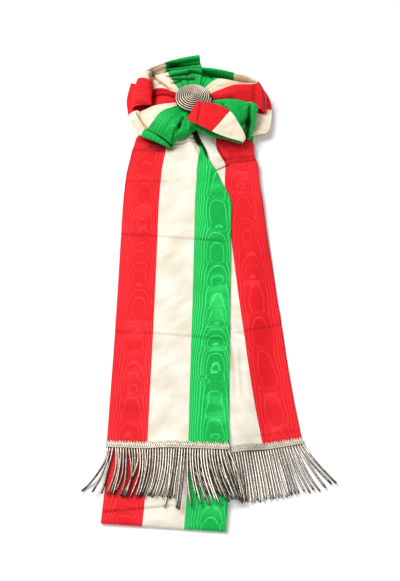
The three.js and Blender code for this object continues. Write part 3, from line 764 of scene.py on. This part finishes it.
def closed_lathe(profile, segments, pucker=0.0, puckers=1):
    """A profile of radii and heights turned round the z axis, its radius waved round the turn,
    with its two poles closed by fans of triangles."""
    turn = (2 * np.pi * np.arange(segments) / segments)[None, :]
    radii = profile[1:-1, :1] * (1 + pucker * np.cos(puckers * turn))
    ring = np.stack([radii * np.cos(turn), radii * np.sin(turn), profile[1:-1, 1:] + 0 * turn], axis=-1)
    points = np.concatenate([ring.reshape(-1, 3), [[0, 0, profile[0, 1]], [0, 0, profile[-1, 1]]]])
    count = len(profile) - 2
    corner = np.arange(count * segments).reshape(count, segments)
    beside = np.roll(corner, -1, axis=1)
    walls = np.stack([corner[:-1], beside[:-1], beside[1:], corner[1:]], axis=-1).reshape(-1, 4)
    low, high = count * segments, count * segments + 1
    fans = [[low, b, a] for a, b in zip(corner[0].tolist(), beside[0].tolist())]
    fans += [[high, a, b] for a, b in zip(corner[-1].tolist(), beside[-1].tolist())]
    return points, walls.tolist() + fans


def plain_cloth(name, dark, light, waves, detail, roughness, strength=0.0):
    """Cloth without a pattern, mottled and raised by one noise. Where it is raised, its hollows are
    also the darker parts of the mottle: painted shade.
    """
    n = Nodes(name)
    mottle = n.noise(n.add("ShaderNodeTexCoord", {}, output=3), waves, detail)
    n.give("Base Color", n.mix_colour(mottle, dark, light))
    n.give("Roughness", roughness)
    if strength:
        n.raise_by(mottle, strength, 0.2 * mm)
    return n.material


knot_rise = knot_high.z - knot_low.z
knot_share = np.array([0, 0, 0.08, 0.3, 0.5, 0.7, 0.92, 1, 1])
knot_waist = np.array([0, 0.86, 0.95, 0.9, 0.86, 0.9, 0.93, 0.8, 0])
knot_profile = np.stack([knot_radius * knot_waist, knot_low.z + knot_rise * knot_share], axis=-1)
knot_drum = closed_lathe(knot_profile, 192, pucker=0.05, puckers=24)
# The knot's cloth is darker in its noise's hollows: painted shade in the gathers.
puckered = plain_cloth(
    "gathered_cloth", colour(196, 184, 158), colour(246, 238, 218),
    waves=420.0, detail=3.0, roughness=0.7, strength=0.4,
)
knot = new_piece("knot_gathers", *knot_drum, puckered)
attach(knot, "root")
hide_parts("rosette_knot")

# The rosette's loops: each is the full ribbon, drawn up on the thread at the knot, opened like a
# fan and turned back on itself at its outer fold, which stands up in a roll. The stripes run out
# along the top and back along the underside.
button_low, button_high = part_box("rosette_button")
button_radius = button_high.x
button_underside = button_low.z
root_radius = knot_radius + 0.4 * mm

# A row is one section from the knot to the fold and back: root and out are its directions at the
# knot and at the fold, in degrees from +x; u is where in the ribbon it lies, from the red selvage
# to the green one; the rest are millimetres. tuck is how far the roll overhangs its furrow.
loop_columns = "root out reach roll tuck dip apron crown rim sole u"
upper_left_table = named(
    loop_columns,
    (66, 84.5, 55.5, 5, 0, 3, 0, 25, 27, 9, 1),
    (99, 102, 51.5, 5, 0, 3, 0, 25, 28, 9, 0.833),
    (137, 122.5, 52, 5, 0, 1.5, 0, 24, 28.5, 9, 0.667),
    (143, 141, 57.5, 6, 0, 3.5, 0, 23, 27.5, 8.5, 0.5),
    (146, 152, 59.5, 11, 2, 7, 0, 20.5, 27, 8, 0.36),
    (148, 156, 58.5, 14, 3, 7, 0.5, 20, 27, 8, 0.325),
    (150.5, 158, 58.3, 15.6, 3, 7, 0.5, 19.8, 26.8, 8, 0.3),
    (168, 171, 57, 17, 3, 7, 0.5, 19, 26, 8, 0.167),
    (190, 186, 57, 17, 2, 4, 1, 17, 20.5, 9, 0),
)
lower_left_table = named(
    loop_columns,
    (150, 150, 70, 8, 0, 0, 0, 7.4, 7.4, 6.1, 0),
    (170, 170, 65, 8, 0, 0, 0, 7.4, 7.4, 6.1, 0.18),
    (186, 187.5, 62, 8, 0, 0, 0, 8, 8, 6.4, 0.33),
    (188, 189.5, 61.5, 9, 0, 2, 0, 19, 15, 10, 0.36),
    (196, 203, 62.5, 9, 0, 2, 0, 20, 14.5, 10, 0.52),
    (203, 218, 62, 8, 1, 4, 0, 22, 17, 10.6, 0.667),
    (222, 232, 58, 7, 2, 7.5, 0, 23.5, 18.5, 10.8, 0.76),
    (238, 244, 57.5, 7, 2, 7.5, 0, 23, 18, 10.8, 0.84),
    (243, 249, 57, 7, 2, 7.5, 0, 22.5, 17.5, 10.8, 0.86),
    (246, 250.5, 48, 6, 0.5, 3, 0, 22.5, 20, 11, 0.885),
    (254, 256, 43.5, 6, 0, 1, 0, 22.5, 21.5, 11, 0.92),
    (262, 262, 41, 6, 0, 0.5, 0, 22, 20.5, 11, 0.945),
    (268, 269, 35, 6, 0, 0, 0, 21.5, 20.5, 11, 0.97),
    (276, 277, 31.5, 6, 0, 0, 0, 21, 19.5, 11, 1),
)
right_table = named(
    loop_columns,
    (84, 86, 42.5, 6, 0, 5, 0, 21.5, 21, 11.5, 1),
    (74, 79, 43, 3.6, 0, 6, 0, 22, 22.5, 9, 0.95),
    (66, 56, 44, 2.8, 0, 12, 0, 23, 25.5, 9, 0.82),
    (57, 35, 51, 2.6, 0, 13, 0, 24.5, 27, 8.5, 0.667),
    (43, 25, 59, 2.8, 0, 11, 0, 25.5, 27, 8, 0.5),
    (29, 17.5, 67, 4.4, 0.5, 3, 1, 26, 26.5, 8, 0.36),
    (26, 15.5, 68, 4, 0, 1, 1.5, 26, 25.5, 8, 0.325),
    (14, 4, 68.5, 4, 0, 0, 2.5, 26.5, 23.5, 8.5, 0.167),
    (-2, -6.8, 67.5, 4, 0, 0, 3, 18.5, 15.5, 10, 0),
)
lower_right_table = named(
    loop_columns,
    (1, -7, 62, 9, 0, 0.5, 0, 24.5, 24, 11, 1),
    (-14, -20, 63, 7, 1, 4, 0, 23, 22, 11, 0.89),
    (-28, -30.5, 66, 7, 1, 6, 0, 20.5, 18.5, 11, 0.78),
    (-38, -38, 67.5, 8, 0, 3, 0, 17.5, 16, 11, 0.68),
    (-38, -37, 61, 8, 0, 0, 0, 9.6, 9.8, 8.3, 0.655),
    (-28, -28.5, 69.5, 8, 0, 0, 0, 9.5, 9.7, 8.1, 0.58),
    (-23.5, -24, 76, 8, 0, 0, 0, 9.4, 9.6, 8, 0.51),
    (-20, -20.5, 77, 8, 0, 0, 0, 9.2, 9.4, 7.8, 0.48),
    (-1, -2, 75.5, 8, 0, 0, 0, 8.4, 8.4, 7, 0.345),
    (11, 11, 75, 8, 0, 0, 0, 7.1, 7.1, 5.9, 0.17),
    (24, 25, 73.5, 8, 0, 0, 0, 7.1, 7.1, 5.9, 0),
)


def loop_sections(table):
    """Distances from the middle and heights of each section's stations: knot, button's edge,
    crown, furrow, the roll's inner edge, its top, shoulder, nose, toe, sole, knot again."""
    sizes = columns_of(table, "reach roll tuck dip apron crown rim sole") * mm
    reach, roll, tuck, dip, apron, crown, rim, sole = sizes.T
    nose = reach + apron
    lip = np.where(apron > 2 * mm, 0.15, 0.3)
    root = root_radius + 0 * reach
    past_button = button_radius + 1 * mm + 0 * reach
    crown_place = (button_radius + reach - roll) / 2 + 1 * mm
    distance = [
        root, past_button, crown_place, reach - roll + tuck, reach - roll + 0.3 * mm, reach - 0.5 * roll,
        reach, nose, nose - 3.2 * mm, (root_radius + nose) / 2, root,
    ]
    at_knot = button_underside - 4.5 * mm + 0 * reach
    at_button = np.minimum(button_underside - 1.6 * mm, crown)
    furrow = np.minimum(crown, rim) - dip
    fold_height = rim - sole
    shoulder = np.maximum(rim - 3.5 * mm, sole + 0.3 * fold_height)
    nose_height = sole + np.minimum(np.maximum(1.6 * mm, fold_height * lip), 0.5 * fold_height)
    height = [
        at_knot, at_button, crown, furrow, rim - 0.14 * (rim - furrow), rim,
        shoulder, nose_height, sole, sole, sole + 0.4 * mm,
    ]
    return np.stack([np.stack(distance), np.stack(height)], axis=-1)


def loop_grid(plan, section_steps=14):
    """Sections smoothed along their stations, each turned from its root direction to its outer one
    as it goes out, then smoothed across. The upper layer carries the creases, and both carry
    gathers: waves across the ribbon, deep at the knot and dying away towards the fold. The shade is
    painted shadow: in the creases, in the gathers' hollows, and on the inner face of the roll where
    its furrow dips."""
    profile = through(loop_sections(plan["table"]), plan["steps"])
    distance, height = profile[..., 0], profile[..., 1]
    columns = columns_of(plan["table"], "root out reach u dip crown sole")
    root, out, reach, u, dip, crown, sole = columns.T
    share = np.clip((distance - root_radius) / (reach * mm - root_radius), 0, 1)
    turn = np.radians(root + (out - root) * share)
    lines = np.stack([distance * np.cos(turn), distance * np.sin(turn), height], axis=-1)
    grid = through(lines.transpose(1, 0, 2), section_steps)
    across = through(u[:, None], section_steps)[:, 0]
    # Stations up to 5.6 are the upper layer's, and the inner face of the roll is round 3.2.
    station = np.linspace(0, 10, grid.shape[1])
    on_top = fade_out(station, 5.6, 0.8)
    far = np.hypot(grid[..., 0], grid[..., 1])
    depth = np.exp(-np.clip(far - button_radius, 0, None) / (plan["fade"] * mm)) * plan["depth"] * mm
    layer_room = through((crown - sole)[:, None], section_steps)
    depth = depth * soft_step((far - root_radius) / (4 * mm)) * np.clip(layer_room / 10, 0.3, 1)
    place = across[:, None]
    fold = plan["count"] * place + 0.35 * np.sin(9 * place + plan["phase"])
    fold = fold + 0.25 * np.sin(23 * place + 2 * plan["phase"])
    uneven = 0.75 + 0.25 * np.sin(31 * place + 3 * plan["phase"])
    wave = uneven * (np.abs(np.sin(np.pi * fold)) ** 0.7 - 0.6)
    below = 1 + 0.6 * (1 - on_top)
    crease_height, shade = relief(grid[..., 0], grid[..., 1], plan["creases"])
    grid[..., 2] += depth * below * wave + on_top * crease_height
    dip = through(dip[:, None], section_steps)
    # Painted shade on the roll's inner face, darker where its furrow dips deeper, and in the gathers'
    # hollows.
    under_roll = np.exp(-(((station - 3.2) / 0.55) ** 4)) * np.clip(dip / 14, 0, 0.8)
    hollow = np.clip(-wave, 0, 1) * depth / (4 * mm)
    shade = on_top * 1.3 * shade + under_roll + hollow
    return grid.transpose(1, 0, 2), across, shade.T


upper_left_creases = named(
    crease_columns,
    (-31, 40.2, 12, 47, 1.3, -3.4, 0.6),
    (-30, 35.8, -2, 39.6, 1.3, -3.4, 0.4),
    (-8, 40, 14, 38.4, 1.2, -2.6, 0.4),
    (-26, 33, 10, 35.5, 2.0, 1.8, 0),
    (-28, 28, 0, 31.2, 1.5, -3.4, 0.5),
    (-6, 33.2, 12, 30.6, 1.3, -3.0, 0.4),
    (-24, 24.8, 6, 25.5, 1.3, -2.6, 0.3),
    (-22, 19, -10, 23.5, 1.2, -2.2, 0),
    (-40.5, 36, -30.5, 20, 0.9, -2.4, 0.8),
    (-33.5, 24.5, -20, 11, 0.9, -2.2, 0.6),
    (-47, 31.5, -25, 41.5, 1.0, -2.0, 0.3),
    (-43, 33, -24, 35.2, 0.9, -1.4, 0),
    (-47, 38.5, -35, 26, 1.2, -1.0, 0.4),
    (-41.5, 31, -39.5, 20, 1.6, -2.8, 0.6),
    (-44, 18, -14, 7.2, 1.1, -2.8, 0.6),
    (-42, 15, -14, 5.5, 1.5, 1.4, 0),
    (-44, 13, -13, 3, 1.0, -2.0, 0.4),
    (-37.8, 15, -37.2, -6, 1.6, -1.0, 0),
    (-42, -7, -14, -2, 1.2, -1.6, 0.4),
    (-58, -2, -40, -6, 1.6, -1.2, 0.5),
)
lower_left_creases = named(
    crease_columns,
    (-55, -9, -42.5, -33, 1.2, -2.2, 0.8),
    (-51, -28.4, -33, -28.7, 0.9, -1.0, 0.2),
    (-20, -14, -46, -22, 2.4, 1.2, 0),
    (-14, -18, -32, -36, 1.6, 1.2, 0),
    (-44, -33, -26.5, -46.5, 1.1, -2.8, 0.5),
    (-34, -40.5, -17, -55, 1.1, -3.0, 0.5),
    (-20.5, -56, -17.5, -36, 1.1, -1.4, 0.3),
    (-18.5, -39, -10, -29, 1.2, -1.6, 0.3),
    (-8, -20, -14, -36, 1.4, -1.6, 0.5),
    (-2, -24, -4, -38, 2.0, 1.0, 0),
)
right_creases = named(
    crease_columns,
    (20, 14, 62, 18, 1.2, -1.2, 0.8),
    (20, 3, 60, 8, 2.6, 1.0, 0),
    (18, 1, 42, 0, 1.1, -1.8, 0.3),
    (14, 4, 28, -2.5, 1.6, -1.2, 0.3, 0.7),
    (34, 2.5, 41, -7, 1.6, -1.4, 0),
    (22, 22, 46, 20, 2.0, 0.8, 0),
    (60, 22, 57, -13, 1.8, -0.9, 0),
    (63.5, 23, 72.5, -20, 0.9, -1.6, 0.3),
    (8, 36, 14, 26, 1.4, -1.8, 0.6),
    (14, 33, 20, 22, 1.2, -1.4, 0.4),
)
lower_right_creases = named(
    crease_columns,
    (26, -4, 36, -18, 1.5, -1.4, 0.6),
    (54.5, -6, 52, -30, 1.5, -2.4, 0.5),
    (54, -20, 50, -46, 2.3, -3.4, 0.6),
    (43, -28, 56, -18, 1.5, -1.6, 0),
    (40, -8, 48, -26, 2.4, 0.8, 0),
)

# A row is one loop. Its gathers make count waves across the ribbon, are depth millimetres deep at
# the button's edge, die away over fade millimetres, and are uneven in a way that phase shifts.
# steps is how many places its sections have from one station to the next.
loop_plans = named(
    "name table creases count depth fade phase steps",
    ("upper_left_loop", upper_left_table, upper_left_creases, 9, 3.4, 10, 0.4, 17),
    ("lower_left_loop", lower_left_table, lower_left_creases, 11, 2.8, 8, 1.7, 12),
    ("right_loop", right_table, right_creases, 9, 3.0, 11, 2.9, 13),
    ("lower_right_loop", lower_right_table, lower_right_creases, 10, 2.6, 14, 4.0, 12),
)
# The loops' copy of the silk has fainter watermark lines and a warmer, deeper cream than the band's:
# painted shade, with the warm cast of light bounced off the red.
shaded_warm_silk = moire_silk("shaded_warm_moire_silk", 0.45, colour(214, 192, 166), colour(242, 229, 208))
for plan in loop_plans:
    name = plan["name"]
    loop = ribbon_piece(name + "_silk", *loop_grid(plan), shaded_warm_silk)
    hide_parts(name)

# The front flap: the ribbon's last turn, laid over the button's lower right and doubled under
# itself along the join of its cream and green stripes, so that the green one runs back to the
# knot below. Its cut end is tucked in behind the button.
flap_table = named(
    "head_x head_y head_z foot_x foot_y foot_z u",
    (3, -12.5, 32.2, -5.5, -32, 29, 0),
    (18, -14.6, 32.8, 6, -38.5, 28.5, 0.167),
    (34.9, -23.8, 31.5, 17.9, -44.6, 26.5, 0.333),
    (42.6, -34, 27.5, 30, -47.6, 22.5, 0.5),
    (49.5, -46, 19, 47, -49.3, 16.2, 0.655),
    (48, -45, 16, 45, -48.6, 14, 0.7),
    (34, -30, 16.5, 30, -44.8, 15.5, 0.8),
    (18, -19, 17.5, 14, -42.6, 19, 0.9),
    (7.3, -8.7, 16, 3.5, -36.8, 20.8, 1),
)
flap_creases = named(
    crease_columns,
    (8, -9, 4, -38, 1.0, -1.2, 0.6),
    (24, -20, 46, -42, 1.6, 0.5, 0),
    (22, -44, 44, -46, 1.2, -0.5, 0.2),
    (28, -42, 46, -29, 0.8, -0.45, 0),
    (33, -50, 43, -32, 0.8, -0.4, 0),
)
# Rows 0 to 4 of the table are the flap's upper layer.
heads = through(columns_of(flap_table, "head_x head_y head_z u"), 12)
feet = through(columns_of(flap_table, "foot_x foot_y foot_z u"), 12)
between = np.linspace(0, 1, 41)[:, None, None]
flap_grid = (heads[None, :, :3] * (1 - between) + feet[None, :, :3] * between) * mm
flap_on_top = fade_out(np.linspace(0, 8, heads.shape[0]), 4.0, 0.3)
crease_height, flap_shade = relief(flap_grid[..., 0], flap_grid[..., 1], flap_creases)
flap_grid[..., 2] += flap_on_top * crease_height
# The flap's copy of the silk has the loops' fainter watermark lines and a warm cream painted with less
# shade than theirs.
flap_silk = moire_silk("flap_moire_silk", 0.45, colour(224, 207, 182), colour(246, 238, 219))
flap_shade = flap_on_top * flap_shade
front_flap = ribbon_piece("front_flap_silk", flap_grid, heads[:, 3], flap_shade, flap_silk)
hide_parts("front_flap")

# The button: a dark domed mould covered with silver cord, which is sewn down in one flat coil
# from the middle out. The cord is two gimped strands twisted together.
cord_pitch = 2 * mm
button_turns = round(button_radius / cord_pitch)
rim_height = 2.2 * mm
button_rise = button_high.z - button_low.z - rim_height


def dome(distance):
    """Height of the cord's crests over the mould, falling with the square of the distance out."""
    return button_underside + rim_height + button_rise * (1 - (distance / button_radius) ** 2)


rim_inset, foot_inset, below_crests = 0.9 * mm, 1.4 * mm, 1.1 * mm
crest = np.linspace(button_radius - rim_inset, 0, 14)
mould_profile = np.concatenate([
    [[0, button_underside], [button_radius - foot_inset, button_underside]],
    np.stack([crest, dome(crest) - below_crests], axis=-1),
])
felt = plain_cloth(
    "mould_felt", colour(34, 28, 24), colour(70, 60, 50), waves=900.0, detail=2.0, roughness=0.9
)
mould = new_piece("button_mould", *closed_lathe(mould_profile, 96), felt)

cord_radius = 0.76 * mm
cord_twist_pitch, twist_margin = 2.2 * mm, 0.2 * mm
coil_start, coil_taper = 0.12 * mm, 0.002
coil_rings, coil_sides = 3000, 12
turn = 2 * np.pi * button_turns * np.sqrt(np.linspace(0.0006, 1, coil_rings))
out = cord_pitch * turn / (2 * np.pi) - 0.5 * cord_pitch
out = np.clip(out, coil_start, button_radius - cord_radius)
walked = np.concatenate([[0], np.cumsum(np.diff(turn) * (out[1:] + twist_margin))])
coil = np.stack([out * np.cos(turn), out * np.sin(turn), dome(out) - cord_radius], axis=-1)
outward = np.stack([np.cos(turn), np.sin(turn), 0 * turn], axis=-1)
upward = np.array([0, 0, 1.0])
angle = (2 * np.pi * np.arange(coil_sides) / coil_sides)[None, :]
twist = np.abs(np.cos(angle - np.pi * walked[:, None] / cord_twist_pitch))
along_coil = np.linspace(0, 1, coil_rings)
ends = soft_step(along_coil / coil_taper) * soft_step((1 - along_coil) / coil_taper)
radius = cord_radius * (0.86 + 0.14 * twist) * np.clip(ends, 0.1, 1)[:, None]
coil_points = coil[:, None] + radius[..., None] * (
    np.cos(angle)[..., None] * outward[:, None] + np.sin(angle)[..., None] * upward
)
corner = np.arange(coil_rings * coil_sides).reshape(coil_rings, coil_sides)
beside = np.roll(corner, -1, axis=1)
coil_walls = np.stack([corner[:-1], corner[1:], beside[1:], beside[:-1]], axis=-1).reshape(-1, 4)
coil_caps = [corner[0].tolist(), corner[-1, ::-1].tolist()]
coil_cord = silver("silver_cord", colour(224, 209, 187), colour(104, 91, 78), 0.4)
button_cord = new_piece("button_coil", coil_points, coil_walls.tolist() + coil_caps, coil_cord)
# Painted light: the cord is lighter where it faces up and a little towards +y, and darker where it faces
# down; darker also in the twist's grooves, with tarnish and painted shade.
painted_light = (0.98 * np.sin(angle) + 0.2 * np.cos(angle) * np.sin(turn)[:, None]).clip(0)
paint_tarnish_and_shade(button_cord, 1.1 - 1.3 * painted_light**2.4 - 0.3 * (twist - 0.6))
for piece in (mould, button_cord):
    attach(piece, "root")
    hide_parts("rosette_button")

# The stage: a white table, a soft box at the left, a weaker one in front, and the camera at the
# fringe end, looking down at 55 degrees.
table_size = 6.0
floor_points = np.array([[-1, -1, 0], [1, -1, 0], [1, 1, 0], [-1, 1, 0]]) * table_size / 2
white_table = Nodes("white_table")
white_table.give("Base Color", (0.92, 0.92, 0.92, 1))
white_table.give("Roughness", 0.9)
floor = new_piece("white_table", floor_points, [[0, 1, 2, 3]], white_table.material)


def soft_box(name, place, aim, size, power):
    """A square lamp at a place, turned to its aim."""
    lamp = bpy.data.lights.new(name, "AREA")
    lamp.size = size
    lamp.energy = power
    made = put_in_scene(name, lamp)
    made.location = place
    made.rotation_euler = (Vector(aim) - Vector(place)).to_track_quat("-Z", "Y").to_euler()


soft_box("key", (-0.8, 0.25, 1.4), (0, -0.2, 0), 1.0, 29)
soft_box("fill", (0.3, -1.3, 1.5), (0, -0.2, 0), 1.4, 9)
world = bpy.data.worlds.new("studio")
world.use_nodes = True
world.node_tree.nodes["Background"].inputs["Color"].default_value = (1, 1, 1, 1)
world.node_tree.nodes["Background"].inputs["Strength"].default_value = 0.4
bpy.context.scene.world = world
bpy.context.scene.view_settings.view_transform = "Standard"

photo_width = 400
focal_pixels = 1502.6
view = bpy.data.cameras.new("view")
view.sensor_fit = "HORIZONTAL"
view.sensor_width = 36
view.lens = focal_pixels * view.sensor_width / photo_width
view.clip_end = 20
camera = put_in_scene("view", view)
camera.location = (6.66 * mm, -972.66 * mm, 1092.42 * mm)
camera.rotation_euler = (np.radians(35), 0, 0)
bpy.context.scene.camera = camera
